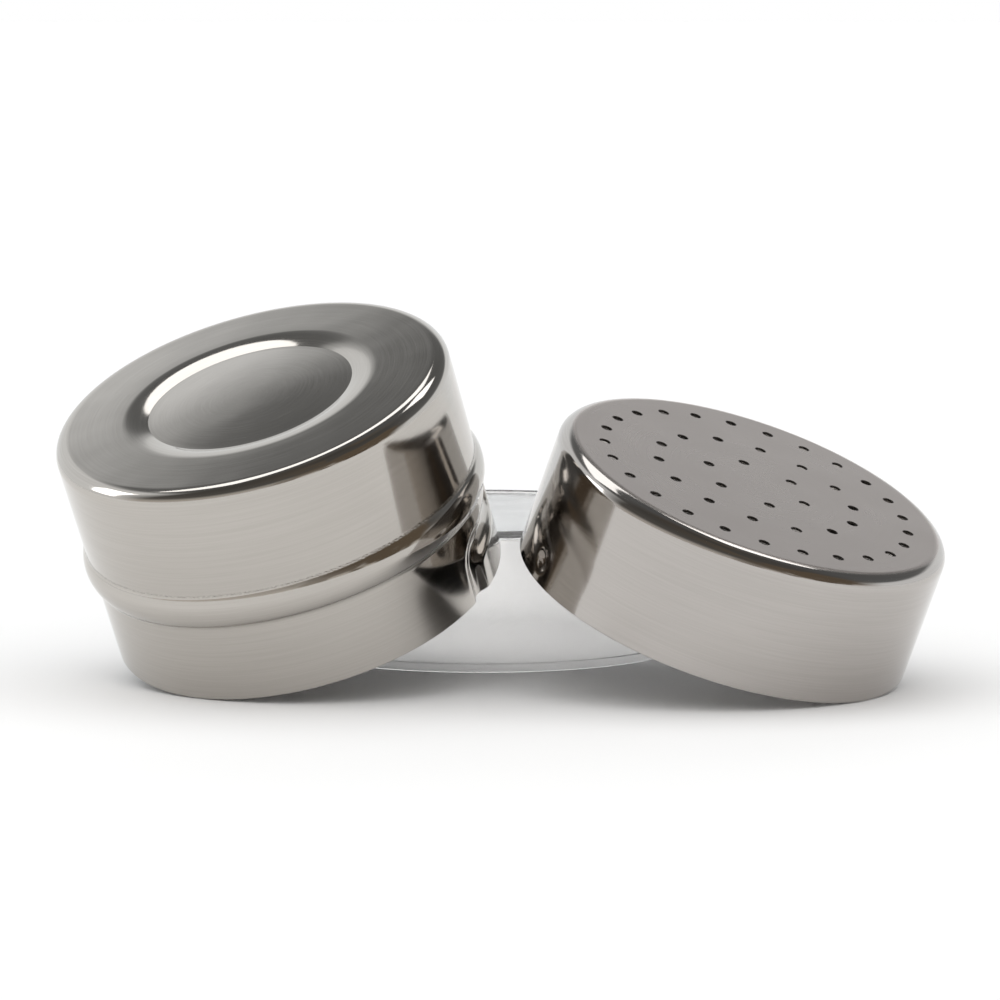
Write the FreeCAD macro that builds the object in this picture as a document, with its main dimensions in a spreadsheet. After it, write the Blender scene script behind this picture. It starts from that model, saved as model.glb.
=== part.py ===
import FreeCAD, Part

import math
import os

import Sketcher

# A small stainless steel spice shaker, taken apart and laid out on a table.
# The can lies mouth down, the perforated cap beside it, and both lean on the
# plastic cover that snaps over the cap. Every length is in millimetres.
# The origin is on the table under the middle of the group, +Y points away
# from the viewer and +Z is up.

# The driving dimensions: name, value and what the value sets.
dimensions = [
    ("steel_sheet", 0.4, "thickness of the drawn steel"),
    ("cap_radius", 35.0, "outside of the cap at its shoulder"),
    ("cap_flare", 0.2, "how much the cap's skirt opens towards its rim"),
    ("cap_height", 23.5, "rim to face of the cap"),
    ("cap_shoulder", 2.7, "rounding between the cap's face and skirt"),
    ("cap_slack", 0.2, "radial play between cap and can neck"),
    ("hole_bore", 1.75, "punched shaker hole"),
    ("outer_ring", 27.5, "radius of the outer ring of holes"),
    ("middle_ring", 17.9, "radius of the middle ring of holes"),
    ("inner_ring", 8.95, "radius of the inner ring of holes"),
    ("outer_count", 25, "holes in the outer ring"),
    ("middle_count", 14, "holes in the middle ring"),
    ("inner_count", 6, "holes in the inner ring"),
    ("outer_turn", 9.85, "angle from the first lug to the outer ring's first hole"),
    ("middle_turn", 10.89, "the same for the middle ring"),
    ("inner_turn", 19.56, "the same for the inner ring"),
    ("can_height", 40.3, "base to mouth of the can"),
    ("can_shoulder", 3.0, "rounding between the can's base and wall"),
    ("wall_step", 0.3, "how far the wall stands out from the neck"),
    ("bead_start", 19.9, "base to the start of the rolled bead"),
    ("bead_width", 6.2, "length of the bead along the wall"),
    ("bead_rise", 0.95, "height of the bead above the wall"),
    ("bead_blend", 0.7, "rounding where the bead meets wall and neck"),
    ("disc_radius", 18.1, "sunk disc in the base"),
    ("disc_depth", 0.9, "how deep the disc is sunk"),
    ("disc_slope", 2.3, "width of the sloping ring round the disc"),
    ("disc_blend", 4.0, "rounding at the top of that slope"),
    ("lug_ball", 3.0, "radius of the ball that presses a lug"),
    ("lug_offset", 2.3, "neck surface out to the centre of that ball"),
    ("lug_play", 0.4, "gap between lug and track"),
    ("lug_height", 4.0, "cap rim to the middle of a lug"),
    ("track_rise", 1.8, "how far the track climbs towards the bead"),
    ("track_elbow", 3.6, "bend radius between entry and run of the track"),
    ("track_bend", 75.0, "angle between entry and run"),
    ("track_turn", 28.0, "angle that the cap turns to lock"),
    ("cover_play", 0.1, "radial play between cover and cap"),
    ("cover_draft", 0.1, "extra opening of the cover towards its rim"),
    ("cover_wall", 0.75, "wall of the moulded cover"),
    ("cover_slack", 0.25, "gap above the cap's face inside the cover"),
    ("panel_depth", 0.5, "how deep the cover's top panel is sunk"),
    ("panel_rim", 1.3, "width of the raised rim round the panel"),
    ("lip_rise", 0.4, "how far the cover's lip stands out"),
    ("lip_height", 1.6, "height of the cover's lip"),
    ("lip_blend", 0.24, "rounding at the lip's edges"),
    ("cover_blend", 1.0, "rounding at the cover's top edge"),
    ("cover_east", -3.3, "cover centre, along X"),
    ("cover_north", 25.5, "cover centre, along Y"),
    ("can_rise", 0.587092, "height of the can's mouth centre, as a share of the cover's height"),
    ("can_heading", 235.6, "compass angle of that lean, from +X"),
    ("can_spin", 82.8, "turn of the can about its own axis"),
    ("can_bearing", 233.26582, "compass angle from the cover's centre to the can"),
    ("cap_rise", 0.5524107, "height of the cap's rim centre, as a share of the cover's height"),
    ("cap_heading", -38.9, "compass angle of that lean, from +X"),
    ("cap_spin", -116.5, "turn of the cap about its own axis"),
    ("cap_bearing", -50.3699, "compass angle from the cover's centre to the cap"),
    ("can_gap", 0.30935, "gap left where the can leans on the cover"),
    ("cap_gap", 0.30825, "gap left where the cap leans on the cover"),
]


class Size:
    """A length that knows its value and the sheet expression behind it."""

    def __init__(self, value, text):
        self.value = float(value)
        self.text = text

    def __add__(self, other):
        other = asSize(other)
        return Size(self.value + other.value, f"({self.text} + {other.text})")

    def __sub__(self, other):
        other = asSize(other)
        return Size(self.value - other.value, f"({self.text} - {other.text})")

    def __mul__(self, other):
        other = asSize(other)
        return Size(self.value * other.value, f"({self.text} * {other.text})")

    def __truediv__(self, other):
        other = asSize(other)
        return Size(self.value / other.value, f"({self.text} / {other.text})")


def asSize(number):
    return number if isinstance(number, Size) else Size(number, str(number))


def fillSheet(doc):
    sheet = doc.addObject("Spreadsheet::Sheet", "Dimensions")
    sizes = {}
    for row, (alias, value, note) in enumerate(dimensions, start=1):
        sheet.set(f"A{row}", alias)
        sheet.set(f"B{row}", str(value))
        sheet.set(f"C{row}", note)
        sheet.setAlias(f"B{row}", alias)
        sizes[alias] = Size(value, f"Dimensions.{alias}")
    doc.recompute()
    return sizes


def originFeature(body, role):
    for feature in body.Origin.OriginFeatures:
        if feature.Role == role:
            return feature
    raise RuntimeError(f"{body.Label} has no {role}")


def newSketch(body, name, role):
    sketch = body.newObject("Sketcher::SketchObject", name)
    sketch.AttachmentSupport = [(originFeature(body, role), "")]
    sketch.MapMode = "FlatFace"
    return sketch


def bindConstraint(sketch, name, constraint, text):
    index = sketch.addConstraint(constraint)
    sketch.renameConstraint(index, name)
    sketch.setExpression(f"Constraints.{name}", text)


def pinPoint(sketch, name, geometry, end, across, up):
    """Hold one end of a line or arc at the lengths across and up."""
    for axis, length, kind in ((-2, across, "DistanceX"), (-1, up, "DistanceY")):
        if length.value == 0:
            sketch.addConstraint(Sketcher.Constraint("PointOnObject", geometry, end, axis))
        else:
            constraint = Sketcher.Constraint(kind, -1, 1, geometry, end, length.value)
            bindConstraint(sketch, name + kind[-1], constraint, length.text)


def drawProfile(body, name, corners):
    """Closed outline on the XZ plane. A corner is (across, up) or
    (across, up, radius), where the radius bends the side that starts there."""
    sketch = newSketch(body, name, "XZ_Plane")
    corners = [tuple(asSize(part) for part in corner) for corner in corners]
    for number, corner in enumerate(corners):
        following = corners[(number + 1) % len(corners)]
        start = FreeCAD.Vector(corner[0].value, corner[1].value, 0)
        finish = FreeCAD.Vector(following[0].value, following[1].value, 0)
        if len(corner) == 3:
            chord = finish - start
            radius = corner[2].value
            swell = radius - math.sqrt(radius**2 - chord.Length**2 / 4)
            outward = FreeCAD.Vector(abs(chord.y), -chord.x, 0).normalize()
            middle = (start + finish) / 2 + outward * swell
            geometry = sketch.addGeometry(Part.Arc(start, middle, finish), False)
            bindConstraint(
                sketch,
                f"bend{number}",
                Sketcher.Constraint("Radius", geometry, radius),
                corner[2].text,
            )
        else:
            sketch.addGeometry(Part.LineSegment(start, finish), False)

    def endAt(geometry, point):
        first = sketch.getPoint(geometry, 1)
        return 1 if first.distanceToPoint(point) < 1e-6 else 2

    for number, corner in enumerate(corners):
        point = FreeCAD.Vector(corner[0].value, corner[1].value, 0)
        before = (number - 1) % len(corners)
        here = endAt(number, point)
        sketch.addConstraint(
            Sketcher.Constraint("Coincident", before, endAt(before, point), number, here)
        )
        pinPoint(sketch, f"corner{number}", number, here, corner[0], corner[1])
    return sketch


def revolve(body, name, sketch, kind="Revolution"):
    turned = body.newObject(f"PartDesign::{kind}", name)
    turned.Profile = sketch
    turned.ReferenceAxis = (sketch, ["V_Axis"])
    turned.Angle = 360
    sketch.Document.recompute()
    return turned


def circleEdges(feature, radius, height):
    """Names of the circular edges of that radius at that height."""
    names = []
    for number, edge in enumerate(feature.Shape.Edges, start=1):
        curve = edge.Curve
        if not isinstance(curve, Part.Circle):
            continue
        if abs(curve.Radius - radius.value) < 0.01 and abs(curve.Center.z - height.value) < 0.01:
            names.append(f"Edge{number}")
    if not names:
        raise RuntimeError(f"no edge of radius {radius.value} at height {height.value}")
    return names


def roundEdges(body, name, feature, rings, radius):
    edges = []
    for ringRadius, ringHeight in rings:
        edges += circleEdges(feature, asSize(ringRadius), asSize(ringHeight))
    rounded = body.newObject("PartDesign::Fillet", name)
    rounded.Base = (feature, edges)
    rounded.Radius = radius.value
    rounded.setExpression("Radius", radius.text)
    body.Document.recompute()
    return rounded


def hollowOut(body, name, feature, mouthHeight, wall):
    """Turn the solid into a sheet shell that is open at the mouth."""
    mouth = None
    for number, face in enumerate(feature.Shape.Faces, start=1):
        flat = isinstance(face.Surface, Part.Plane)
        if flat and abs(face.CenterOfMass.z - mouthHeight.value) < 0.01:
            mouth = f"Face{number}"
    shell = body.newObject("PartDesign::Thickness", name)
    shell.Base = (feature, [mouth])
    shell.Value = wall.value
    shell.setExpression("Value", wall.text)
    shell.Mode = "Skin"
    shell.Join = "Intersection"
    shell.Reversed = True
    body.Document.recompute()
    return shell


def addPrimitive(doc, kind, name, lengths, place=None):
    solid = doc.addObject(f"Part::{kind}", name)
    for prop, length in lengths.items():
        length = asSize(length)
        setattr(solid, prop, length.value)
        solid.setExpression(prop, length.text)
    for axis, length in (place or {}).items():
        solid.setExpression(f"Placement.Base.{axis}", asSize(length).text)
    return solid


def combine(doc, kind, name, members):
    joined = doc.addObject(f"Part::{kind}", name)
    joined.Shapes = members
    joined.Refine = True
    return joined


def subtract(doc, name, base, tool):
    result = doc.addObject("Part::Cut", name)
    result.Base = base
    result.Tool = tool
    result.Refine = True
    return result


def tangentArc(start, direction, finish):
    """Arc from start to finish that leaves along direction, and its end direction."""
    chord = finish - start
    inward = chord - direction * chord.dot(direction)
    inward.normalize()
    radius = chord.Length**2 / (2 * chord.dot(inward))
    centre = start + inward * radius
    outward = (start + finish) / 2 - centre
    outward.normalize()
    middle = centre + outward * radius
    along = FreeCAD.Vector(chord)
    along.normalize()
    return Part.Arc(start, middle, finish), along * (2 * direction.dot(along)) - direction


def trackPath(doc, name, size, side):
    """Line down the neck, elbow and climbing run of one bayonet track."""
    radius = size["neckRadius"].value + size["lug_offset"].value
    endHeight = size["beadEnd"].value + size["lug_height"].value
    startHeight = endHeight + size["track_rise"].value
    elbow = size["track_elbow"].value
    bend = math.radians(size["track_bend"].value)
    clearOfMouth = size["can_height"].value + 2 * size["lug_ball"].value

    def onNeck(along, height):
        angle = side - along / radius
        return FreeCAD.Vector(radius * math.cos(angle), radius * math.sin(angle), height)

    entry = onNeck(0, clearOfMouth)
    bendTop = onNeck(0, startHeight + elbow * math.sin(bend))
    bendEnd = onNeck(elbow * (1 - math.cos(bend)), startHeight)
    lock = onNeck(radius * math.radians(size["track_turn"].value), endHeight)
    elbowArc, direction = tangentArc(bendTop, FreeCAD.Vector(0, 0, -1), bendEnd)
    runArc, direction = tangentArc(bendEnd, direction, lock)
    curves = [Part.LineSegment(entry, bendTop), elbowArc, runArc]
    path = doc.addObject("Part::Feature", name)
    path.Shape = Part.Wire([curve.toShape() for curve in curves])
    return path, entry, lock


def pressTrack(doc, name, path, entry, lock, radius):
    """Solid swept by a ball of that radius along the track."""
    circle = doc.addObject("Part::Circle", name + "Circle")
    circle.Radius = radius.value
    circle.setExpression("Radius", radius.text)
    circle.Placement = FreeCAD.Placement(entry, FreeCAD.Rotation())
    sweep = doc.addObject("Part::Sweep", name + "Sweep")
    sweep.Sections = [circle]
    sweep.Spine = (path, [f"Edge{number}" for number in (1, 2, 3)])
    sweep.Solid = True
    sweep.Frenet = False
    ball = addPrimitive(doc, "Sphere", name + "Ball", {"Radius": radius})
    ball.Placement = FreeCAD.Placement(lock, FreeCAD.Rotation())
    return [sweep, ball]


def leaningPlace(size, piece, rimRadius, rimHeight, flipped, reach):
    """Placement of a piece whose open rim touches the table at one point."""
    rise = size[f"{piece}_rise"].value * size["coverHeight"].value
    tilt = math.degrees(math.asin(rise / rimRadius.value))
    heading = size[f"{piece}_heading"].value
    spin = size[f"{piece}_spin"].value
    bearing = math.radians(size[f"{piece}_bearing"].value)
    rotation = FreeCAD.Rotation(FreeCAD.Vector(0, 0, 1), heading)
    rotation = rotation * FreeCAD.Rotation(FreeCAD.Vector(0, 1, 0), tilt + (180 if flipped else 0))
    rotation = rotation * FreeCAD.Rotation(FreeCAD.Vector(0, 0, 1), spin)
    rimCentre = FreeCAD.Vector(
        size["cover_east"].value + reach * math.cos(bearing),
        size["cover_north"].value + reach * math.sin(bearing),
        rise,
    )
    base = rimCentre - rotation.multVec(FreeCAD.Vector(0, 0, rimHeight.value))
    return FreeCAD.Placement(base, rotation)


def layDown(part, cover, size, piece, rimRadius, rimHeight, flipped):
    """Slide a leaning piece towards the cover until only its named gap is left."""
    centre = FreeCAD.Vector(0, 0, rimHeight.value)
    upward = FreeCAD.Vector(0, 0, 1)
    outer = Part.makeCircle(rimRadius.value, centre, upward)
    inner = Part.makeCircle(rimRadius.value - size["steel_sheet"].value, centre, upward)
    rim = Part.makeCompound([outer, inner])
    gap = size[f"{piece}_gap"].value
    near = size["capRim"].value
    far = near * 3
    for _ in range(24):
        reach = (near + far) / 2
        rim.Placement = leaningPlace(size, piece, rimRadius, rimHeight, flipped, reach)
        if rim.distToShape(cover.Shape)[0] > gap:
            far = reach
        else:
            near = reach
    print(f"{piece} lies {reach:.3f} mm from the cover's centre")
    part.Placement = leaningPlace(size, piece, rimRadius, rimHeight, flipped, reach)


def buildCan(doc, size, cover):
    body = doc.addObject("PartDesign::Body", "CanShell")
    wall = size["wallRadius"]
    neck = size["neckRadius"]
    chord = size["bead_width"]
    rise = size["bead_rise"] + size["wall_step"] / 2
    beadRadius = (chord * chord / 4 + rise * rise) / (rise * 2)
    outline = drawProfile(
        body,
        "CanOutline",
        [
            (0, size["disc_depth"]),
            (size["disc_radius"], size["disc_depth"]),
            (size["disc_radius"] + size["disc_slope"], 0),
            (wall, 0),
            (wall, size["bead_start"], beadRadius),
            (neck, size["beadEnd"]),
            (neck, size["can_height"]),
            (0, size["can_height"]),
        ],
    )
    solid = revolve(body, "CanSolid", outline)
    ring = size["disc_radius"] + size["disc_slope"]
    solid = roundEdges(body, "CanShoulder", solid, [(wall, 0)], size["can_shoulder"])
    solid = roundEdges(body, "DiscBlend", solid, [(ring, 0)], size["disc_blend"])
    blends = [(wall, size["bead_start"]), (neck, size["beadEnd"])]
    solid = roundEdges(body, "BeadBlend", solid, blends, size["bead_blend"])
    shell = hollowOut(body, "CanSheet", solid, size["can_height"], size["steel_sheet"])
    body.Tip = shell

    cutters = []
    liners = []
    cutRadius = size["lug_ball"] + size["lug_play"]
    for number in (1, 2):
        side = math.pi * (number - 1)
        path, entry, lock = trackPath(doc, f"TrackPath{number}", size, side)
        cutters += pressTrack(doc, f"Track{number}", path, entry, lock, cutRadius)
        linerRadius = cutRadius + size["steel_sheet"]
        liners += pressTrack(doc, f"Liner{number}", path, entry, lock, linerRadius)
    slug = addPrimitive(
        doc,
        "Cylinder",
        "NeckSlug",
        {"Radius": neck, "Height": size["can_height"] - size["beadEnd"]},
        {"z": size["beadEnd"]},
    )
    lining = combine(doc, "MultiFuse", "TrackLining", liners)
    lining = combine(doc, "MultiCommon", "TrackLiningTrimmed", [lining, slug])
    lined = combine(doc, "MultiFuse", "LinedCan", [body, lining])
    tracks = combine(doc, "MultiFuse", "Tracks", cutters)
    can = subtract(doc, "Can", lined, tracks)
    can.Label = "steel_can"
    layDown(can, cover, size, "can", neck, size["can_height"], True)
    return can


def punchRing(body, size, ring, last):
    """One ring of shaker holes: a punched hole and its polar pattern."""
    sketch = newSketch(body, f"{ring}Hole", "XY_Plane")
    angle = math.radians(size[f"{ring}_turn"].value)
    radius = size[f"{ring}_ring"]
    centre = FreeCAD.Vector(radius.value * math.cos(angle), radius.value * math.sin(angle), 0)
    sketch.addGeometry(Part.Circle(centre, FreeCAD.Vector(0, 0, 1), size["hole_bore"].value / 2))
    spoke = sketch.addGeometry(Part.LineSegment(FreeCAD.Vector(), centre), True)
    sketch.addConstraint(Sketcher.Constraint("Coincident", spoke, 1, -1, 1))
    sketch.addConstraint(Sketcher.Constraint("Coincident", spoke, 2, 0, 3))
    bore = Sketcher.Constraint("Diameter", 0, size["hole_bore"].value)
    bindConstraint(sketch, "bore", bore, size["hole_bore"].text)
    reach = Sketcher.Constraint("Distance", spoke, radius.value)
    bindConstraint(sketch, "reach", reach, radius.text)
    turn = Sketcher.Constraint("Angle", -1, 1, spoke, 1, angle)
    bindConstraint(sketch, "turn", turn, f"{size[ring + '_turn'].text} * 1 deg")
    pocket = body.newObject("PartDesign::Pocket", f"{ring}Punch")
    pocket.Profile = sketch
    pocket.Type = "ThroughAll"
    pocket.Reversed = True
    body.Document.recompute()
    if not pocket.Shape.Volume < last.Shape.Volume:
        raise RuntimeError(f"the {ring} punch cuts nothing")
    pattern = body.newObject("PartDesign::PolarPattern", f"{ring}Holes")
    pattern.Originals = [pocket]
    pattern.Axis = (sketch, ["N_Axis"])
    pattern.Angle = 360
    pattern.Occurrences = int(size[f"{ring}_count"].value)
    pattern.setExpression("Occurrences", size[f"{ring}_count"].text)
    body.Tip = pattern
    body.Document.recompute()
    return pattern


def buildCap(doc, size, cover):
    body = doc.addObject("PartDesign::Body", "CapShell")
    outline = drawProfile(
        body,
        "CapOutline",
        [
            (0, 0),
            (size["capRim"], 0),
            (size["cap_radius"], size["cap_height"]),
            (0, size["cap_height"]),
        ],
    )
    solid = revolve(body, "CapSolid", outline)
    edge = [(size["cap_radius"], size["cap_height"])]
    solid = roundEdges(body, "CapShoulder", solid, edge, size["cap_shoulder"])
    feature = hollowOut(body, "CapSheet", solid, asSize(0), size["steel_sheet"])
    for ring in ("outer", "middle", "inner"):
        feature = punchRing(body, size, ring, feature)

    away = size["neckRadius"] + size["lug_offset"]
    bumps = []
    dents = []
    for number, reach in ((1, away), (2, away * -1)):
        place = {"x": reach, "z": size["lug_height"]}
        bump = {"Radius": size["lug_ball"]}
        dent = {"Radius": size["lug_ball"] - size["steel_sheet"]}
        bumps.append(addPrimitive(doc, "Sphere", f"LugBump{number}", bump, place))
        dents.append(addPrimitive(doc, "Sphere", f"LugDent{number}", dent, place))
    slugSizes = {
        "Radius": size["cap_radius"] - size["steel_sheet"] / 2,
        "Height": size["lug_height"] * 2,
    }
    slug = addPrimitive(doc, "Cylinder", "CapSlug", slugSizes)
    bumps = combine(doc, "MultiFuse", "LugBumps", bumps)
    bumps = combine(doc, "MultiCommon", "LugBumpsTrimmed", [bumps, slug])
    lugged = combine(doc, "MultiFuse", "LuggedCap", [body, bumps])
    dents = combine(doc, "MultiFuse", "LugDents", dents)
    cap = subtract(doc, "Cap", lugged, dents)
    cap.Label = "shaker_cap"
    layDown(cap, cover, size, "cap", size["capRim"], asSize(0), False)
    return cap


def buildCover(doc, size):
    body = doc.addObject("PartDesign::Body", "Cover")
    body.Label = "plastic_cover"
    top = size["coverHeight"]
    wall = size["cover_wall"]
    innerTop = size["cap_radius"] + size["cover_play"]
    innerRim = size["capRim"] + size["cover_play"] + size["cover_draft"]
    outerTop = innerTop + wall
    outerRim = innerRim + wall
    lip = outerRim + size["lip_rise"]
    panel = outerTop - size["panel_rim"]
    ceiling = top - size["panel_depth"] - wall
    outline = drawProfile(
        body,
        "CoverOutline",
        [
            (0, 0),
            (lip, 0),
            (lip, size["lip_height"]),
            (outerRim, size["lip_height"]),
            (outerTop, top),
            (panel, top),
            (panel, top - size["panel_depth"]),
            (0, top - size["panel_depth"]),
        ],
    )
    solid = revolve(body, "CoverSolid", outline)
    solid = roundEdges(body, "CoverEdge", solid, [(outerTop, top)], size["cover_blend"])
    cavity = drawProfile(
        body, "CoverCavity", [(0, 0), (innerRim, 0), (innerTop, ceiling), (0, ceiling)]
    )
    hollow = revolve(body, "CoverHollow", cavity, "Groove")
    if not hollow.Shape.Volume < solid.Shape.Volume:
        raise RuntimeError("the cover's cavity cuts nothing")
    corner = [(innerTop, ceiling)]
    hollow = roundEdges(body, "CoverCorner", hollow, corner, size["cover_blend"] / 2)
    lipEdges = [(lip, 0), (lip, size["lip_height"])]
    hollow = roundEdges(body, "CoverLip", hollow, lipEdges, size["lip_blend"])
    body.Tip = hollow
    centre = FreeCAD.Vector(size["cover_east"].value, size["cover_north"].value, 0)
    body.Placement = FreeCAD.Placement(centre, FreeCAD.Rotation())
    return body


def addFits(size):
    """Sizes that one piece takes from another."""
    size["capRim"] = size["cap_radius"] + size["cap_flare"]
    size["neckRadius"] = size["capRim"] - size["steel_sheet"] - size["cap_slack"]
    size["wallRadius"] = size["neckRadius"] + size["wall_step"]
    size["beadEnd"] = size["bead_start"] + size["bead_width"]
    headroom = size["cover_slack"] + size["cover_wall"] + size["panel_depth"]
    size["coverHeight"] = size["cap_height"] + headroom


def checkDocument(doc):
    for item in doc.Objects:
        if "Invalid" in item.State or "Error" in item.State:
            raise RuntimeError(f"{item.Name} failed: {item.State}")


def main():
    doc = FreeCAD.newDocument("SpiceShaker")
    size = fillSheet(doc)
    addFits(size)
    cover = buildCover(doc, size)
    parts = [buildCan(doc, size, cover), buildCap(doc, size, cover), cover]
    doc.recompute()
    checkDocument(doc)
    for part in parts:
        if part.Shape.isNull() or not part.Shape.isValid():
            raise RuntimeError(f"{part.Label} has no valid shape")
    os.makedirs("parts", exist_ok=True)
    for part in parts:
        solids = len(part.Shape.Solids)
        print(f"{part.Label}: {solids} solid, {part.Shape.Volume:.1f} mm3")
        part.Shape.exportStep(f"parts/{part.Label}.step")


main()
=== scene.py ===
import math

import bpy
from mathutils import Matrix, Vector, geometry


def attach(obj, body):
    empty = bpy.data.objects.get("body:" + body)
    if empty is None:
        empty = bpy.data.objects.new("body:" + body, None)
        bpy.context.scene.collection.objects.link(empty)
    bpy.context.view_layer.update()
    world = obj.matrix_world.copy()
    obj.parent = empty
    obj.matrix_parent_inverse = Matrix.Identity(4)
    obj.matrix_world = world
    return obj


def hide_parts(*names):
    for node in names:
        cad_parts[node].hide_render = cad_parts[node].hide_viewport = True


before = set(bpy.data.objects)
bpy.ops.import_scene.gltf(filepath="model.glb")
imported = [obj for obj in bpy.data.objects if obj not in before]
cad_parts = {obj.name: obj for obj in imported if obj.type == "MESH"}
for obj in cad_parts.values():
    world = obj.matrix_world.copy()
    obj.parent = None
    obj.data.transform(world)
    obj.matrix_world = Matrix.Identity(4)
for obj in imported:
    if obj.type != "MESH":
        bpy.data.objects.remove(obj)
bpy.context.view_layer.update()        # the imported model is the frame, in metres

mm = 0.001
creaseAngle = 32        # degrees; sharper edges stay hard
lipShare = 0.3          # part of the sheet that is broken at a cut edge
print("frame loaded:", sorted(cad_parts))


# Outlines: lists of (radius, height) in millimetres, turned round the piece's own Z axis

def arcPoints(centre, radius, fromAngle, toAngle, step=4.0):
    count = max(2, int(abs(toAngle - fromAngle) / step) + 1)
    points = []
    for number in range(count + 1):
        angle = math.radians(fromAngle + (toAngle - fromAngle) * number / count)
        points.append((centre[0] + radius * math.cos(angle), centre[1] + radius * math.sin(angle)))
    return points


def roundCorners(corners):
    # a corner is (radius, height) or (radius, height, blend); the two ends have no blend
    points = []
    for number, corner in enumerate(corners):
        here = Vector(corner[:2])
        blend = corner[2] if len(corner) > 2 else 0
        if not blend:
            points.append(tuple(here))
            continue
        before = (Vector(corners[number - 1][:2]) - here).normalized()
        after = (Vector(corners[number + 1][:2]) - here).normalized()
        half = before.angle(after) / 2
        reach = blend / math.tan(half)
        centre = here + (before + after).normalized() * (blend / math.sin(half))
        start = here + before * reach - centre
        finish = here + after * reach - centre
        first = math.degrees(math.atan2(start.y, start.x))
        turn = math.degrees(math.atan2(finish.y, finish.x)) - first
        turn = (turn + 180) % 360 - 180
        points += arcPoints(centre, blend, first, first + turn)
    return points


def spreadOut(points, longest):
    # extra points on long straight runs; longest gives the step allowed there
    spread = []
    for start, finish in zip(points, points[1:]):
        spread.append(start)
        length = math.dist(start, finish)
        extra = int(length / longest(start, finish))
        for number in range(1, extra + 1):
            share = number / (extra + 1)
            spread.append(tuple(a + (b - a) * share for a, b in zip(start, finish)))
    spread.append(points[-1])
    return spread


def easeJoint(points, joint, reach, steps=8):
    # a soft bend instead of the crease where two runs meet
    near = min(range(len(points)), key=lambda number: math.dist(points[number], joint))
    first = near
    while first > 0 and math.dist(points[first], joint) < reach:
        first -= 1
    last = near
    while last < len(points) - 1 and math.dist(points[last], joint) < reach:
        last += 1
    bend = []
    for number in range(steps + 1):
        share = number / steps
        weights = ((1 - share) ** 2, 2 * share * (1 - share), share**2)
        ends = (points[first], joint, points[last])
        bend.append(tuple(sum(w * end[axis] for w, end in zip(weights, ends)) for axis in (0, 1)))
    return points[:first] + bend + points[last + 1:]


def offsetOutline(points, depth):
    # the other face of the sheet, on the left of the way the outline runs
    shifted = []
    for number, point in enumerate(points):
        before = Vector(points[max(number - 1, 0)])
        after = Vector(points[min(number + 1, len(points) - 1)])
        along = (after - before).normalized()
        shifted.append((max(point[0] - along.y * depth, 0), point[1] + along.x * depth))
    return shifted


def turnOutline(vertices, faces, points, segments, press=None):
    # rings of vertices for the points, joined by quads, one vertex on the axis
    rings = []
    for radius, height in points:
        if radius < 1e-6:
            rings.append([len(vertices)])
            vertices.append((0, 0, height * mm))
            continue
        ring = []
        for number in range(segments):
            angle = 2 * math.pi * number / segments
            reach = (press(radius, height, angle) if press else radius) * mm
            ring.append(len(vertices))
            vertices.append((reach * math.cos(angle), reach * math.sin(angle), height * mm))
        rings.append(ring)
    for lower, upper in zip(rings, rings[1:]):
        for number in range(segments):
            following = (number + 1) % segments
            if len(lower) == 1:
                faces.append((lower[0], upper[following], upper[number]))
            elif len(upper) == 1:
                faces.append((lower[number], lower[following], upper[0]))
            else:
                faces.append((lower[number], lower[following], upper[following], upper[number]))
    return rings


def makePiece(name, vertices, faces, node, body, place, material, punched=()):
    # punched holds the numbers of the faces inside the holes
    mesh = bpy.data.meshes.new(name)
    mesh.from_pydata(vertices, [], faces)
    mesh.transform(place)
    piece = bpy.data.objects.new(name, mesh)
    bpy.context.scene.collection.objects.link(piece)
    mesh.shade_smooth()
    mesh.set_sharp_from_angle(angle=math.radians(creaseAngle))
    evenShade = piece.modifiers.new("evenShade", "WEIGHTED_NORMAL")
    evenShade.keep_sharp = True
    mesh.materials.append(material)
    # the faces inside the holes get the painted-shade hole finish
    if punched:
        mesh.materials.append(shadedHoleWall)
        for number in punched:
            mesh.polygons[number].material_index = 1
    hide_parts(node)
    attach(piece, body)


def leanPlace(lean, rimRadius, rimHeight, flipped):
    # puts the middle of the rim over (east, north), with the rim's lowest point on the table
    turn = Matrix.Rotation(math.radians(lean["heading"]), 4, "Z")
    turn @= Matrix.Rotation(math.radians(lean["tilt"] + (180 if flipped else 0)), 4, "Y")
    turn @= Matrix.Rotation(math.radians(lean["spin"]), 4, "Z")
    lift = rimRadius * math.sin(math.radians(lean["tilt"]))
    rim = Vector((lean["east"], lean["north"], lift)) * mm
    base = rim - turn.to_3x3() @ Vector((0, 0, rimHeight * mm))
    return Matrix.Translation(base) @ turn


# Finishes

def newMaterial(name):
    material = bpy.data.materials.new(name)
    material.use_nodes = True
    tree = material.node_tree
    return material, tree, tree.nodes["Principled BSDF"]


def addNode(tree, kind, settings=None, inputs=None):
    node = tree.nodes.new(kind)
    for key, value in (settings or {}).items():
        setattr(node, key, value)
    for key, value in (inputs or {}).items():
        socket = node.inputs[key]
        if isinstance(value, bpy.types.NodeSocket):
            tree.links.new(value, socket)
        else:
            socket.default_value = value
    return node


def work(tree, operation, first, second=0.0):
    node = addNode(tree, "ShaderNodeMath", {"operation": operation}, {0: first, 1: second})
    return node.outputs[0]


def remap(tree, value, fromLow, fromHigh, toLow, toHigh):
    ends = {"From Min": fromLow, "From Max": fromHigh, "To Min": toLow, "To Max": toHigh}
    node = addNode(tree, "ShaderNodeMapRange", {}, {"Value": value, **ends})
    return node.outputs["Result"]


# In the finishes below, remap's first pair of numbers sets the contrast of a noise

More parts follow.
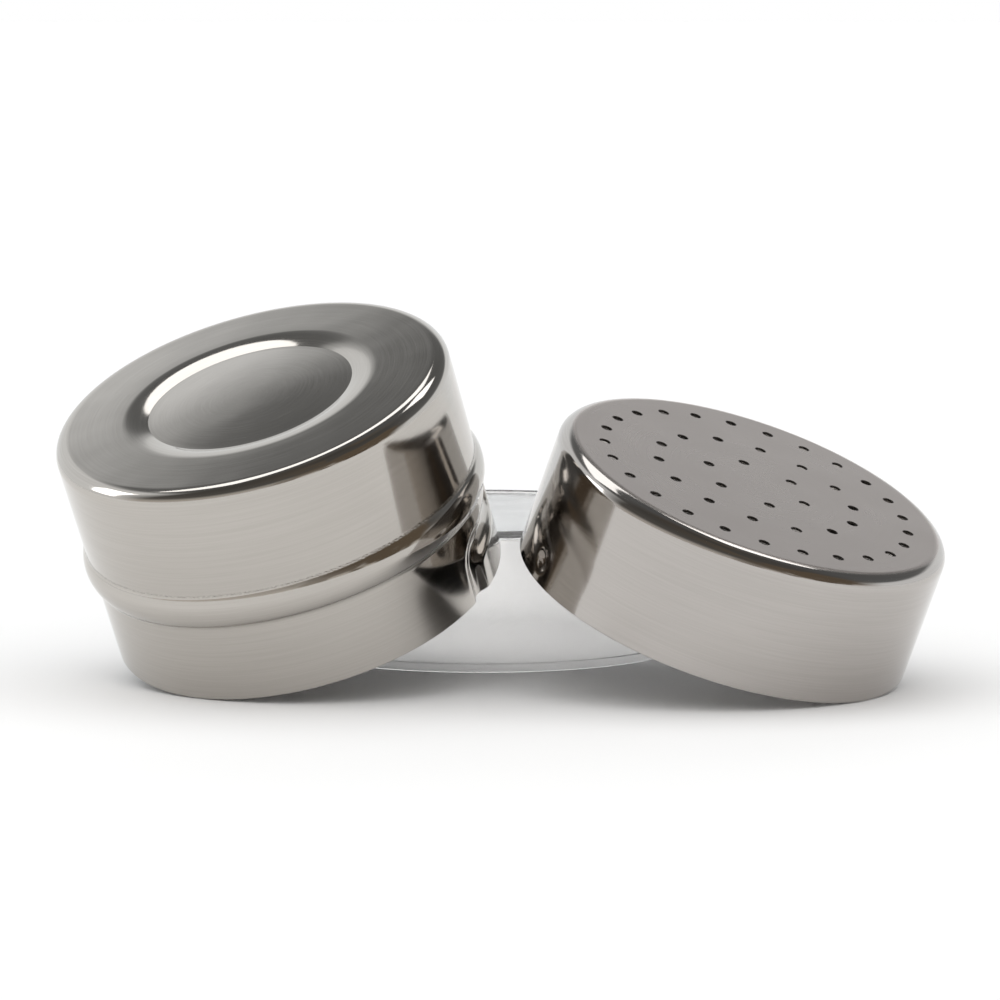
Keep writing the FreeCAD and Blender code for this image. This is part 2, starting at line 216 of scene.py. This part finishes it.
def spunLines(tree, position, fineness, streak):
    # noise drawn out round the axis, as a lathe leaves it
    flat = addNode(tree, "ShaderNodeCombineXYZ", {}, {0: position[0], 1: position[1]})
    radius = addNode(tree, "ShaderNodeVectorMath", {"operation": "LENGTH"}, {0: flat.outputs[0]})
    angle = work(tree, "ARCTAN2", position[1], position[0])
    drawn = addNode(
        tree,
        "ShaderNodeCombineXYZ",
        {},
        {
            0: work(tree, "MULTIPLY", radius.outputs["Value"], fineness),
            1: work(tree, "MULTIPLY", position[2], fineness),
            2: work(tree, "MULTIPLY", angle, streak),
        },
    )
    noise = addNode(
        tree, "ShaderNodeTexNoise", {}, {"Vector": drawn.outputs[0], "Scale": 1.0, "Detail": 4.0}
    )
    return noise.outputs["Fac"]


def addToolLine(tree, mark, position, colour, bump):
    # chatter that the rolling tool left where the bead starts
    fromLine = work(tree, "SUBTRACT", position[2], mark["height"] * mm)
    near = remap(tree, work(tree, "ABSOLUTE", fromLine), 0.0, mark["width"] * mm, 1.0, 0.0)
    angle = work(tree, "ARCTAN2", position[1], position[0])
    wound = addNode(
        tree,
        "ShaderNodeCombineXYZ",
        {},
        {
            0: work(tree, "MULTIPLY", angle, mark["marksRound"]),
            1: work(tree, "MULTIPLY", position[2], mark["fineness"]),
        },
    )
    chatter = addNode(
        tree, "ShaderNodeTexNoise", {}, {"Vector": wound.outputs[0], "Scale": 1.0, "Detail": 3.0}
    ).outputs["Fac"]
    marks = work(tree, "MULTIPLY", near, remap(tree, chatter, 0.42, 0.6, 0.0, 1.0))
    darker = addNode(
        tree,
        "ShaderNodeMix",
        {"data_type": "RGBA"},
        {0: work(tree, "MULTIPLY", marks, mark["dark"]), "A": colour, "B": (*mark["tone"], 1)},
    )
    rougher = addNode(
        tree,
        "ShaderNodeBump",
        {},
        {
            "Height": marks,
            "Strength": mark["strength"],
            "Distance": mark["depth"] * mm,
            "Normal": bump.outputs[0],
        },
    )
    return darker.outputs["Result"], rougher


def steelFinish(name, look, place):
    # the texture's own Z axis is the piece's axis, undoing its place in the layout
    material, tree, shader = newMaterial(name)
    back = place.inverted()
    coordinates = addNode(
        tree,
        "ShaderNodeMapping",
        {},
        {
            "Vector": addNode(tree, "ShaderNodeTexCoord").outputs["Object"],
            "Location": back.translation,
            "Rotation": back.to_euler(),
        },
    )
    split = addNode(tree, "ShaderNodeSeparateXYZ", {}, {0: coordinates.outputs[0]})
    position = [split.outputs[axis] for axis in (0, 1, 2)]
    lines = spunLines(tree, position, look["lineFineness"], look["lineStreak"])
    smudge = addNode(
        tree,
        "ShaderNodeTexNoise",
        {},
        {"Vector": coordinates.outputs[0], "Scale": look["smudgeScale"], "Detail": 3.0},
    ).outputs["Fac"]
    polished = remap(tree, lines, 0.3, 0.7, look["polishLow"], look["polishHigh"])
    smudged = remap(tree, smudge, 0.35, 0.7, 0.0, look["smudgeRoughness"])
    rough = work(tree, "ADD", polished, smudged)
    tone = addNode(
        tree,
        "ShaderNodeMix",
        {"data_type": "RGBA"},
        {
            0: remap(tree, lines, 0.35, 0.65, 0.0, 1.0),
            "A": (*look["darkTone"], 1),
            "B": (*look["lightTone"], 1),
        },
    )
    colour = tone.outputs["Result"]
    if "satinFrom" in look:
        above = remap(tree, position[2], look["satinFrom"] * mm, look["satinTo"] * mm, 0.0, 1.0)
        rough = work(tree, "ADD", rough, work(tree, "MULTIPLY", above, look["satinExtra"]))
        face = addNode(
            tree,
            "ShaderNodeMix",
            {"data_type": "RGBA"},
            {0: above, "A": colour, "B": (*look["satinTone"], 1)},
        )
        colour = face.outputs["Result"]
    tree.links.new(rough, shader.inputs["Roughness"])
    bump = addNode(
        tree,
        "ShaderNodeBump",
        {},
        {"Height": lines, "Strength": look["lineStrength"], "Distance": look["lineDepth"] * mm},
    )
    if "toolMark" in look:
        colour, bump = addToolLine(tree, look["toolMark"], position, colour, bump)
    tree.links.new(colour, shader.inputs["Base Color"])
    waviness = addNode(
        tree,
        "ShaderNodeTexNoise",
        {},
        {"Vector": coordinates.outputs[0], "Scale": look["waveScale"], "Detail": 1.0},
    ).outputs["Fac"]
    waved = addNode(
        tree,
        "ShaderNodeBump",
        {},
        {
            "Height": waviness,
            "Strength": 1.0,
            "Distance": look["waveDepth"] * mm,
            "Normal": bump.outputs[0],
        },
    )
    tree.links.new(waved.outputs[0], shader.inputs["Normal"])
    shader.inputs["Metallic"].default_value = 1.0
    return material


canLook = {
    "darkTone": (0.475, 0.45, 0.418),
    "lightTone": (0.505, 0.48, 0.448),
    "lineFineness": 4200.0,
    "lineStreak": 2.0,
    "lineStrength": 0.05,
    "lineDepth": 0.02,
    "polishLow": 0.055,
    "polishHigh": 0.085,
    "smudgeScale": 55.0,
    "smudgeRoughness": 0.04,
    "toolMark": {
        "height": 19.75,
        "width": 0.32,
        "marksRound": 70.0,
        "fineness": 3500.0,
        "dark": 0.55,
        "tone": (0.2, 0.185, 0.165),
        "strength": 0.9,
        "depth": 0.05,
    },
    "waveScale": 90.0,
    "waveDepth": 0.03,
}
capLook = {
    "darkTone": (0.455, 0.43, 0.408),
    "lightTone": (0.485, 0.46, 0.438),
    "lineFineness": 3800.0,
    "lineStreak": 2.0,
    "lineStrength": 0.06,
    "lineDepth": 0.02,
    "polishLow": 0.06,
    "polishHigh": 0.10,
    "smudgeScale": 60.0,
    "smudgeRoughness": 0.04,
    "satinFrom": 23.3,      # the face is duller than the wall
    "satinTo": 23.45,
    "satinExtra": 0.2,
    "satinTone": (0.56, 0.505, 0.475),
    "waveScale": 80.0,
    "waveDepth": 0.03,
}
coverLook = {
    "milk": (0.995, 0.99, 0.985),
    "cloudy": (0.975, 0.97, 0.965),
    "cloudScale": 70.0,
    "roughLow": 0.16,
    "roughHigh": 0.22,
    "seeThrough": 0.92,
    "scatter": 0.6,
    "scatterReach": 3.0,
    "peelScale": 1400.0,
    "peelStrength": 0.4,
    "peelDepth": 0.03,
    "bending": 1.49,        # refractive index
}


def coverFinish(name, look):
    material, tree, shader = newMaterial(name)
    coordinates = addNode(tree, "ShaderNodeTexCoord").outputs["Object"]
    cloud = addNode(
        tree,
        "ShaderNodeTexNoise",
        {},
        {"Vector": coordinates, "Scale": look["cloudScale"], "Detail": 3.0},
    ).outputs["Fac"]
    tone = addNode(
        tree,
        "ShaderNodeMix",
        {"data_type": "RGBA"},
        {0: cloud, "A": (*look["milk"], 1), "B": (*look["cloudy"], 1)},
    )
    tree.links.new(tone.outputs["Result"], shader.inputs["Base Color"])
    rough = remap(tree, cloud, 0.3, 0.7, look["roughLow"], look["roughHigh"])
    tree.links.new(rough, shader.inputs["Roughness"])
    grain = addNode(
        tree,
        "ShaderNodeTexNoise",
        {},
        {"Vector": coordinates, "Scale": look["peelScale"], "Detail": 2.0},
    ).outputs["Fac"]
    bump = addNode(
        tree,
        "ShaderNodeBump",
        {},
        {
            "Height": grain,
            "Strength": look["peelStrength"],
            "Distance": look["peelDepth"] * mm,
        },
    )
    tree.links.new(bump.outputs[0], shader.inputs["Normal"])
    shader.inputs["IOR"].default_value = look["bending"]
    shader.inputs["Transmission Weight"].default_value = look["seeThrough"]
    shader.inputs["Subsurface Weight"].default_value = look["scatter"]
    shader.inputs["Subsurface Scale"].default_value = look["scatterReach"] * mm
    shader.inputs["Subsurface Radius"].default_value = (1.0, 1.0, 1.0)
    return material


def shadedHoleFinish(name, look):
    # torn, unpolished metal inside the punched holes, its colour darkened nearly to black as
    # painted shade so the holes read dark
    material, tree, shader = newMaterial(name)
    coordinates = addNode(tree, "ShaderNodeTexCoord").outputs["Object"]
    grain = addNode(
        tree,
        "ShaderNodeTexNoise",
        {},
        {"Vector": coordinates, "Scale": look["grain"], "Detail": 3.0},
    ).outputs["Fac"]
    tone = addNode(
        tree,
        "ShaderNodeMix",
        {"data_type": "RGBA"},
        {
            0: remap(tree, grain, 0.4, 0.6, 0.0, 1.0),
            "A": (*look["dark"], 1),
            "B": (*look["light"], 1),
        },
    )
    tree.links.new(tone.outputs["Result"], shader.inputs["Base Color"])
    rough = remap(tree, grain, 0.3, 0.7, look["roughLow"], look["roughHigh"])
    tree.links.new(rough, shader.inputs["Roughness"])
    shader.inputs["Metallic"].default_value = 1.0
    return material


# painted shade: near-black tones on the hole walls stand in for the shade inside the holes; the
# grain and roughness are the torn metal
holeShadeLook = {
    "grain": 5000.0,
    "dark": (0.035, 0.03, 0.027),
    "light": (0.11, 0.1, 0.09),
    "roughLow": 0.45,
    "roughHigh": 0.65,
}
shadedHoleWall = shadedHoleFinish("shadedHoleWall", holeShadeLook)
print("hole finish made")


# Bayonet shapes, pressed by a ball from outside

lock = {
    "ball": 3.0,            # ball that presses a lug
    "reach": 36.9,          # axis to the centre of the ball
    "play": 0.4,
    "entry": 46.3,          # heights from the can's base
    "runStart": 31.9,
    "runEnd": 30.1,
    "elbow": 3.6,           # radius of the corner in the track
    "bend": 75.0,           # degrees round that corner
    "turn": 28.0,           # degrees from the entry to the end of the run
    "lugHeight": 4.0,       # from the cap's rim
    "lugAngles": (0.0, math.pi),
    "softness": 0.32,       # width of the soft lip round a pressed shape
    "margin": 1.0,          # how far round a track the wall is looked at
    "marginAngle": 0.2,
}


def trackLine(elbowSteps=8):
    # middle of one track, as (way round, height) on the ball's circle
    bend = math.radians(lock["bend"])
    elbow = lock["elbow"]
    top = lock["runStart"] + elbow * math.sin(bend)
    line = [(0.0, lock["entry"]), (0.0, top)]
    for number in range(1, elbowSteps + 1):
        angle = bend * number / elbowSteps
        line.append((elbow * (1 - math.cos(angle)), top - elbow * math.sin(angle)))
    line.append((lock["reach"] * math.radians(lock["turn"]), lock["runEnd"]))
    return line


def distanceToLine(point, line):
    nearest = math.inf
    for start, finish in zip(line, line[1:]):
        across, up = finish[0] - start[0], finish[1] - start[1]
        share = ((point[0] - start[0]) * across + (point[1] - start[1]) * up) / (across**2 + up**2)
        share = min(1.0, max(0.0, share))
        gap = math.hypot(point[0] - start[0] - share * across, point[1] - start[1] - share * up)
        nearest = min(nearest, gap)
    return nearest


def angleBetween(first, second):
    # from the first to the second, within half a turn either way
    return (second - first + math.pi) % (2 * math.pi) - math.pi


def pressDepth(gap, ball, surface):
    # how deep the ball pushes a wall in, with a soft lip where it starts
    if gap >= ball:
        return 0.0
    depth = surface - (lock["reach"] - math.sqrt(ball**2 - gap**2))
    soft = lock["softness"]
    return (depth + math.sqrt(depth**2 + soft**2)) / 2 if depth > -soft * 4 else 0.0


trackMiddle = trackLine()


def pressTracks(radius, height, angle):
    neck = canSizes["neck"]
    ball = lock["ball"] + lock["play"]
    if radius < neck - lock["margin"] or height < lock["runEnd"] - ball - lock["margin"]:
        return radius
    deepest = 0.0
    for side in lock["lugAngles"]:
        past = angleBetween(angle, side)
        if -lock["marginAngle"] < past < math.radians(lock["turn"]) + lock["marginAngle"]:
            gap = distanceToLine((past * lock["reach"], height), trackMiddle)
            deepest = max(deepest, pressDepth(gap, ball, neck))
    return radius - deepest


def pressLugs(radius, height, angle):
    ball = lock["ball"] - capSizes["sheet"]
    highest = lock["lugHeight"] + ball + lock["margin"]
    if radius < capSizes["radius"] - lock["margin"] or height > highest:
        return radius
    deepest = 0.0
    for side in lock["lugAngles"]:
        past = angleBetween(angle, side)
        gap = math.hypot(past * lock["reach"], height - lock["lugHeight"])
        deepest = max(deepest, pressDepth(gap, ball, capSizes["radius"] + capSizes["flare"]))
    return radius - deepest


def thinOut(points, leastTurn, longest):
    # drops points on straight runs and keeps those on bends
    kept = [points[0]]
    for number in range(1, len(points) - 1):
        last, here, following = (Vector(p) for p in (kept[-1], points[number], points[number + 1]))
        if (here - last).length < 0.0001:
            continue        # two points in one place
        turn = (here - last).angle(following - here, 0)
        if turn > math.radians(leastTurn) or (following - last).length > longest(points[number]):
            kept.append(points[number])
    kept.append(points[-1])
    return kept


# The can, mouth down

canSizes = {
    "sheet": 0.4,
    "height": 40.3,
    "neck": 34.6,
    "wall": 34.9,
    "shoulder": 2.6,
    "beadStart": 19.9,
    "beadEnd": 26.1,
    "beadRise": 0.95,
    "beadEase": 0.35,
    "discRadius": 18.1,
    "discDepth": 0.85,
    "discDome": 0.4,
    "discSlope": 2.5,
    "discEdge": 0.1,        # blend where the slope meets the disc
    "discBlend": 12.0,      # blend where it meets the base ring
    "baseFall": 0.2,
    "segments": 352,
    # how finely the outline is divided
    "discSteps": 15,
    "spacing": 0.4,
    "neckSpacing": 0.38,
    "neckFrom": 25,
    "straightSpacing": 2.5,
    "leastTurn": 0.9,
}
canLean = {"tilt": 25.1, "heading": 235.6, "spin": 82.8, "east": -33.6, "north": -15.1}


def beadOutline(step=2.0):
    # circle arc from the wall to the neck, standing out by the bead's rise
    wall, neck = canSizes["wall"], canSizes["neck"]
    low, high = Vector((wall, canSizes["beadStart"])), Vector((neck, canSizes["beadEnd"]))
    chord = high - low
    rise = canSizes["beadRise"] + (wall - neck) / 2
    radius = (chord.length**2 / 4 + rise**2) / (2 * rise)
    outward = Vector((chord.y, -chord.x)).normalized()
    centre = (low + high) / 2 + outward * (rise - radius)
    first = math.degrees(math.atan2(low.y - centre.y, low.x - centre.x))
    last = math.degrees(math.atan2(high.y - centre.y, high.x - centre.x))
    return arcPoints(centre, radius, first, last, step)


def canOutside():
    # from the middle of the base to the mouth
    neck, wall, height = canSizes["neck"], canSizes["wall"], canSizes["height"]
    disc = []
    for number in range(canSizes["discSteps"]):
        share = number / canSizes["discSteps"]
        fall = canSizes["discDome"] * (1 - share**2)
        disc.append((canSizes["discRadius"] * share, canSizes["discDepth"] - fall))
    base = roundCorners(
        [
            *disc,
            (canSizes["discRadius"], canSizes["discDepth"], canSizes["discEdge"]),
            (canSizes["discRadius"] + canSizes["discSlope"], 0, canSizes["discBlend"]),
            (wall, canSizes["baseFall"], canSizes["shoulder"]),
            (wall, canSizes["beadStart"]),
        ]
    )
    whole = base[:-1] + beadOutline() + [(neck, height)]
    outside = spreadOut(whole, lambda start, finish: canSizes["spacing"])
    for joint in ((wall, canSizes["beadStart"]), (neck, canSizes["beadEnd"])):
        outside = easeJoint(outside, joint, canSizes["beadEase"])

    def longest(point):
        onNeck = point[1] > canSizes["neckFrom"]
        return canSizes["neckSpacing"] if onNeck else canSizes["straightSpacing"]

    return thinOut(outside, canSizes["leastTurn"], longest)


def buildCan():
    sheet, height, neck = canSizes["sheet"], canSizes["height"], canSizes["neck"]
    outside = canOutside()
    inside = offsetOutline(outside, sheet)
    inside[0] = (0, inside[1][1])
    lip = sheet * lipShare
    mouth = [(neck - lip, height), (neck - sheet + lip, height)]
    outside[-1] = (neck, height - lip)
    inside[-1] = (neck - sheet, height - lip)
    vertices, faces = [], []
    turnOutline(vertices, faces, outside + mouth + inside[::-1], canSizes["segments"], pressTracks)
    place = leanPlace(canLean, neck, height, True)
    steel = steelFinish("polishedCan", canLook, place)
    makePiece("drawnCan", vertices, faces, "steel_can", "can", place, steel)


# The perforated cap

capSizes = {
    "sheet": 0.4,
    "radius": 35.0,
    "flare": 0.2,
    "height": 23.5,
    "shoulder": 2.7,
    "hole": 1.75,
    "holeEdge": 0.1,
    "holeSides": 28,
    # rings of holes: radius, count, angle of the first one
    "rings": ((27.5, 25, 9.85), (17.9, 14, 10.89), (8.95, 6, 19.56)),
    "segments": 480,
    # how finely the outline is divided
    "lugSpacing": 0.38,
    "lugZone": 8,
    "straightSpacing": 2.5,
    "borderWidth": 0.5,     # flat ring left round the plate of holes
    "borderStep": 0.05,     # keeps the shading of the plate flat up to the shoulder
}
capLean = {"tilt": 23.1, "heading": -38.9, "spin": -116.5, "east": 36.7, "north": -22.8}


def holeCentres():
    centres = []
    for radius, count, first in capSizes["rings"]:
        for number in range(count):
            angle = math.radians(first + 360 * number / count)
            centres.append((radius * math.cos(angle), radius * math.sin(angle)))
    return centres


def circleRing(vertices, centre, radius, height, sides):
    ring = []
    for number in range(sides):
        angle = 2 * math.pi * number / sides
        ring.append(len(vertices))
        vertices.append(
            (
                (centre[0] + radius * math.cos(angle)) * mm,
                (centre[1] + radius * math.sin(angle)) * mm,
                height * mm,
            )
        )
    return ring


def bridge(faces, lower, upper):
    for number in range(len(lower)):
        following = (number + 1) % len(lower)
        faces.append((lower[number], lower[following], upper[following], upper[number]))


def fillPlate(vertices, faces, border, holes, upward):
    # flat sheet between the border ring and the holes
    used = list(border) + [index for ring in holes for index in ring]
    spots = [Vector(vertices[index][:2]) for index in used]
    edges = []
    start = 0
    for ring in [border, *holes]:
        count = len(ring)
        edges += [(start + number, start + (number + 1) % count) for number in range(count)]
        start += count
    made = geometry.delaunay_2d_cdt(spots, edges, [], 0, 1e-9)
    for face in made[2]:
        corners = [used[made[3][corner][0]] for corner in face]
        if any(set(corners) <= set(ring) for ring in holes):
            continue        # the face would close a hole
        faces.append(tuple(corners if upward else corners[::-1]))


def punchHole(vertices, faces, centre):
    # one hole through the face, its edges slightly broken; gives its upper and lower ring
    bore, edge = capSizes["hole"] / 2, capSizes["holeEdge"]
    top, bottom = capSizes["height"], capSizes["height"] - capSizes["sheet"]
    steps = [
        (bore + edge * 1.5, top),
        (bore + edge, top),
        (bore + edge * 0.3, top - edge * 0.3),
        (bore, top - edge),
        (bore, bottom + edge * 0.5),
        (bore + edge * 0.5, bottom),
    ]
    sides = capSizes["holeSides"]
    made = [circleRing(vertices, centre, radius, height, sides) for radius, height in steps]
    for above, below in zip(made, made[1:]):
        bridge(faces, above, below)
    return made[0], made[-1]


def capOutside(rim):
    # from the border of the plate over the shoulder to the rim
    shoulder, top = capSizes["shoulder"], capSizes["height"]
    start = capSizes["radius"] - shoulder
    border = (start - capSizes["borderWidth"], top)
    outside = roundCorners([border, (capSizes["radius"], top, shoulder), (rim, 0)])
    outside.insert(1, (start - capSizes["borderStep"], top))

    def longest(first, last):
        byLug = min(first[1], last[1]) < capSizes["lugZone"]
        return capSizes["lugSpacing"] if byLug else capSizes["straightSpacing"]

    return spreadOut(outside, longest)


def buildCap():
    sheet = capSizes["sheet"]
    rim = capSizes["radius"] + capSizes["flare"]
    outside = capOutside(rim)
    inside = offsetOutline(outside, -sheet)
    lip = sheet * lipShare
    middle = [(rim - lip, 0), (rim - sheet + lip, 0)]
    outside[-1] = (rim, lip)
    inside[-1] = (rim - sheet, lip)
    vertices, faces = [], []
    whole = outside + middle + inside[::-1]
    rings = turnOutline(vertices, faces, whole, capSizes["segments"], pressLugs)
    faces = [face[::-1] for face in faces]
    firstPunched = len(faces)
    holes = [punchHole(vertices, faces, centre) for centre in holeCentres()]
    punched = range(firstPunched, len(faces))
    fillPlate(vertices, faces, rings[0], [upper for upper, lower in holes], True)
    fillPlate(vertices, faces, rings[-1], [lower for upper, lower in holes], False)
    place = leanPlace(capLean, rim, 0, False)
    steel = steelFinish("satinCap", capLook, place)
    makePiece(
        "perforatedCap", vertices, faces, "shaker_cap", "cap", place, steel, punched
    )


# The plastic cover, open side down

coverSizes = {
    "height": 25.0,
    "innerTop": 35.1,
    "innerRim": 35.4,
    "wall": 0.75,
    "lipRise": 0.4,
    "lipHeight": 1.6,
    "lipBlend": 0.24,
    "panelDepth": 0.5,
    "panelRim": 1.3,
    "panelBlend": 0.12,
    "neckBlend": 0.15,      # where the wall meets the lip
    "rimBlend": 0.1,
    "edgeBlend": 1.0,
    "segments": 360,
    "spacing": 2.5,
}
coverSpot = (-3.3, 25.5)


def buildCover():
    size = coverSizes
    outerTop = size["innerTop"] + size["wall"]
    outerRim = size["innerRim"] + size["wall"]
    lip = outerRim + size["lipRise"]
    top = size["height"]
    sunk = top - size["panelDepth"]
    panel = outerTop - size["panelRim"]
    outline = roundCorners(
        [
            (0, sunk),
            (panel, sunk, size["panelBlend"]),
            (panel, top, size["panelBlend"]),
            (outerTop, top, size["edgeBlend"]),
            (outerRim, size["lipHeight"], size["neckBlend"]),
            (lip, size["lipHeight"], size["lipBlend"]),
            (lip, 0, size["lipBlend"]),
            (size["innerRim"], 0, size["rimBlend"]),
            (size["innerTop"], sunk - size["wall"], size["edgeBlend"] / 2),
            (0, sunk - size["wall"]),
        ]
    )
    outline = spreadOut(outline, lambda start, finish: size["spacing"])
    vertices, faces = [], []
    turnOutline(vertices, faces, outline, size["segments"])
    faces = [face[::-1] for face in faces]
    place = Matrix.Translation(Vector((*coverSpot, 0)) * mm)
    plastic = coverFinish("milkyPlastic", coverLook)
    makePiece(
        "snapCover", vertices, faces, "plastic_cover", "cover", place, plastic
    )


buildCan()
print("can made")
buildCap()
print("cap made")
buildCover()
print("cover made")


# Table, light and camera

studio = {
    "tableSize": 60.0,
    "tableTone": (0.97, 0.97, 0.97),
    "tableRough": 0.8,
    "tableDrop": 0.0001,    # a hair under the object
    # brightness by height, behind the object and in front of it
    "backStops": (
        (0.0, 1.0),
        (0.5, 1.0),
        (0.54, 0.95),
        (0.556, 0.68),
        (0.575, 0.58),
        (0.59, 0.45),
        (0.61, 0.22),
        (0.65, 0.18),
        (1.0, 0.13),
    ),
    "frontStops": ((0.0, 0.75), (0.18, 0.55), (0.38, 0.13), (1.0, 0.08)),
    "backTint": (0.97, 0.99, 1.0),
    "frontTint": (1.0, 0.95, 0.88),
    "sideShift": 0.3,
    "patchScale": 2.2,
    "patchDark": (0.16, 0.125, 0.09),
    # soft boxes: place, width, height, power
    "boxes": {
        "topBox": ((-0.35, 0.4, 1.3), 1.1, 0.45, 3.2),
        "leftBox": ((-1.3, 0.1, 0.6), 0.4, 0.7, 2.5),
        "rightBox": ((0.55, 0.35, 1.25), 0.45, 0.45, 1.6),
    },
    "tentStrength": 2.7,
    "tentSpread": 120,
    "tentFrom": (0, -0.4, 1),
    "cameraSpot": (-0.0002, -0.8141, 0.1173),
    "cameraDown": 6.155,    # degrees below level
    "cameraLens": 165.5,
}


def buildTable():
    half = studio["tableSize"] / 2
    corners = [(-half, -half, 0), (half, -half, 0), (half, half, 0), (-half, half, 0)]
    mesh = bpy.data.meshes.new("table")
    mesh.from_pydata(corners, [], [(0, 1, 2, 3)])
    table = bpy.data.objects.new("table", mesh)
    bpy.context.scene.collection.objects.link(table)
    material, _, shader = newMaterial("paleTable")
    shader.inputs["Base Color"].default_value = (*studio["tableTone"], 1)
    shader.inputs["Roughness"].default_value = studio["tableRough"]
    mesh.materials.append(material)
    table.location.z = -studio["tableDrop"]


def skyRamp(tree, height, levels, tint):
    ramp = addNode(tree, "ShaderNodeValToRGB", {}, {0: height})
    stops = ramp.color_ramp.elements
    for spot, value in levels:
        stop = stops[0] if spot == 0 else stops[-1] if spot == 1 else stops.new(spot)
        stop.color = (*(value * part for part in tint), 1)
    return ramp.outputs[0]


def buildWorld():
    # a bright room behind the object and a dim one in front, as the metal shows them
    world = bpy.data.worlds.new("studio")
    bpy.context.scene.world = world
    world.use_nodes = True
    tree = world.node_tree
    background = tree.nodes["Background"]
    way = addNode(tree, "ShaderNodeTexCoord").outputs["Generated"]
    split = addNode(tree, "ShaderNodeSeparateXYZ", {}, {0: way})
    side = work(tree, "MULTIPLY", split.outputs[0], studio["sideShift"])
    height = work(tree, "ADD", split.outputs[2], side)
    behind = skyRamp(tree, height, studio["backStops"], studio["backTint"])
    before = skyRamp(tree, split.outputs[2], studio["frontStops"], studio["frontTint"])
    patches = addNode(
        tree,
        "ShaderNodeTexNoise",
        {},
        {"Vector": way, "Scale": studio["patchScale"], "Detail": 2.0},
    ).outputs["Fac"]
    # dim patches of the room, only on the right and in front
    toRight = remap(tree, split.outputs[0], -0.4, 0.6, 0.0, 1.0)
    patched = work(tree, "MULTIPLY", remap(tree, patches, 0.47, 0.53, 0.0, 1.0), toRight)
    room = addNode(
        tree,
        "ShaderNodeMix",
        {"data_type": "RGBA"},
        {0: patched, "A": before, "B": (*studio["patchDark"], 1)},
    ).outputs["Result"]
    back = remap(tree, split.outputs[1], -0.3, 0.0, 0.0, 1.0)
    whole = addNode(
        tree, "ShaderNodeMix", {"data_type": "RGBA"}, {0: back, "A": room, "B": behind}
    )
    seen = addNode(tree, "ShaderNodeLightPath").outputs["Is Camera Ray"]
    plain = addNode(
        tree,
        "ShaderNodeMix",
        {"data_type": "RGBA"},
        {0: seen, "A": whole.outputs["Result"], "B": (1, 1, 1, 1)},
    )
    tree.links.new(plain.outputs["Result"], background.inputs["Color"])


def softBox(name, spot, width, height, power):
    # a bright panel aimed at the object, seen only in the reflections
    light = bpy.data.lights.new(name, "AREA")
    light.shape = "RECTANGLE"
    light.size, light.size_y = width, height
    light.energy = power
    lamp = bpy.data.objects.new(name, light)
    lamp.location = spot
    lamp.rotation_euler = (-Vector(spot)).to_track_quat("-Z", "Y").to_euler()
    lamp.visible_diffuse = False
    bpy.context.scene.collection.objects.link(lamp)


def tentLight():
    # even light on the table, left out of the reflections
    light = bpy.data.lights.new("tentLight", "SUN")
    light.energy = studio["tentStrength"]
    light.angle = math.radians(studio["tentSpread"])
    lamp = bpy.data.objects.new("tentLight", light)
    lamp.rotation_euler = Vector(studio["tentFrom"]).to_track_quat("Z", "Y").to_euler()
    lamp.visible_glossy = False
    bpy.context.scene.collection.objects.link(lamp)


def buildCamera():
    camera = bpy.data.cameras.new("camera")
    camera.sensor_width = 36
    camera.lens = studio["cameraLens"]
    seat = bpy.data.objects.new("camera", camera)
    seat.location = studio["cameraSpot"]
    seat.rotation_euler = (math.radians(90 - studio["cameraDown"]), 0, 0)
    bpy.context.scene.collection.objects.link(seat)
    bpy.context.scene.camera = seat


buildTable()
buildWorld()
tentLight()
for name, values in studio["boxes"].items():
    softBox(name, *values)
buildCamera()
bpy.context.scene.view_settings.view_transform = "Standard"
print("table, light and camera made")
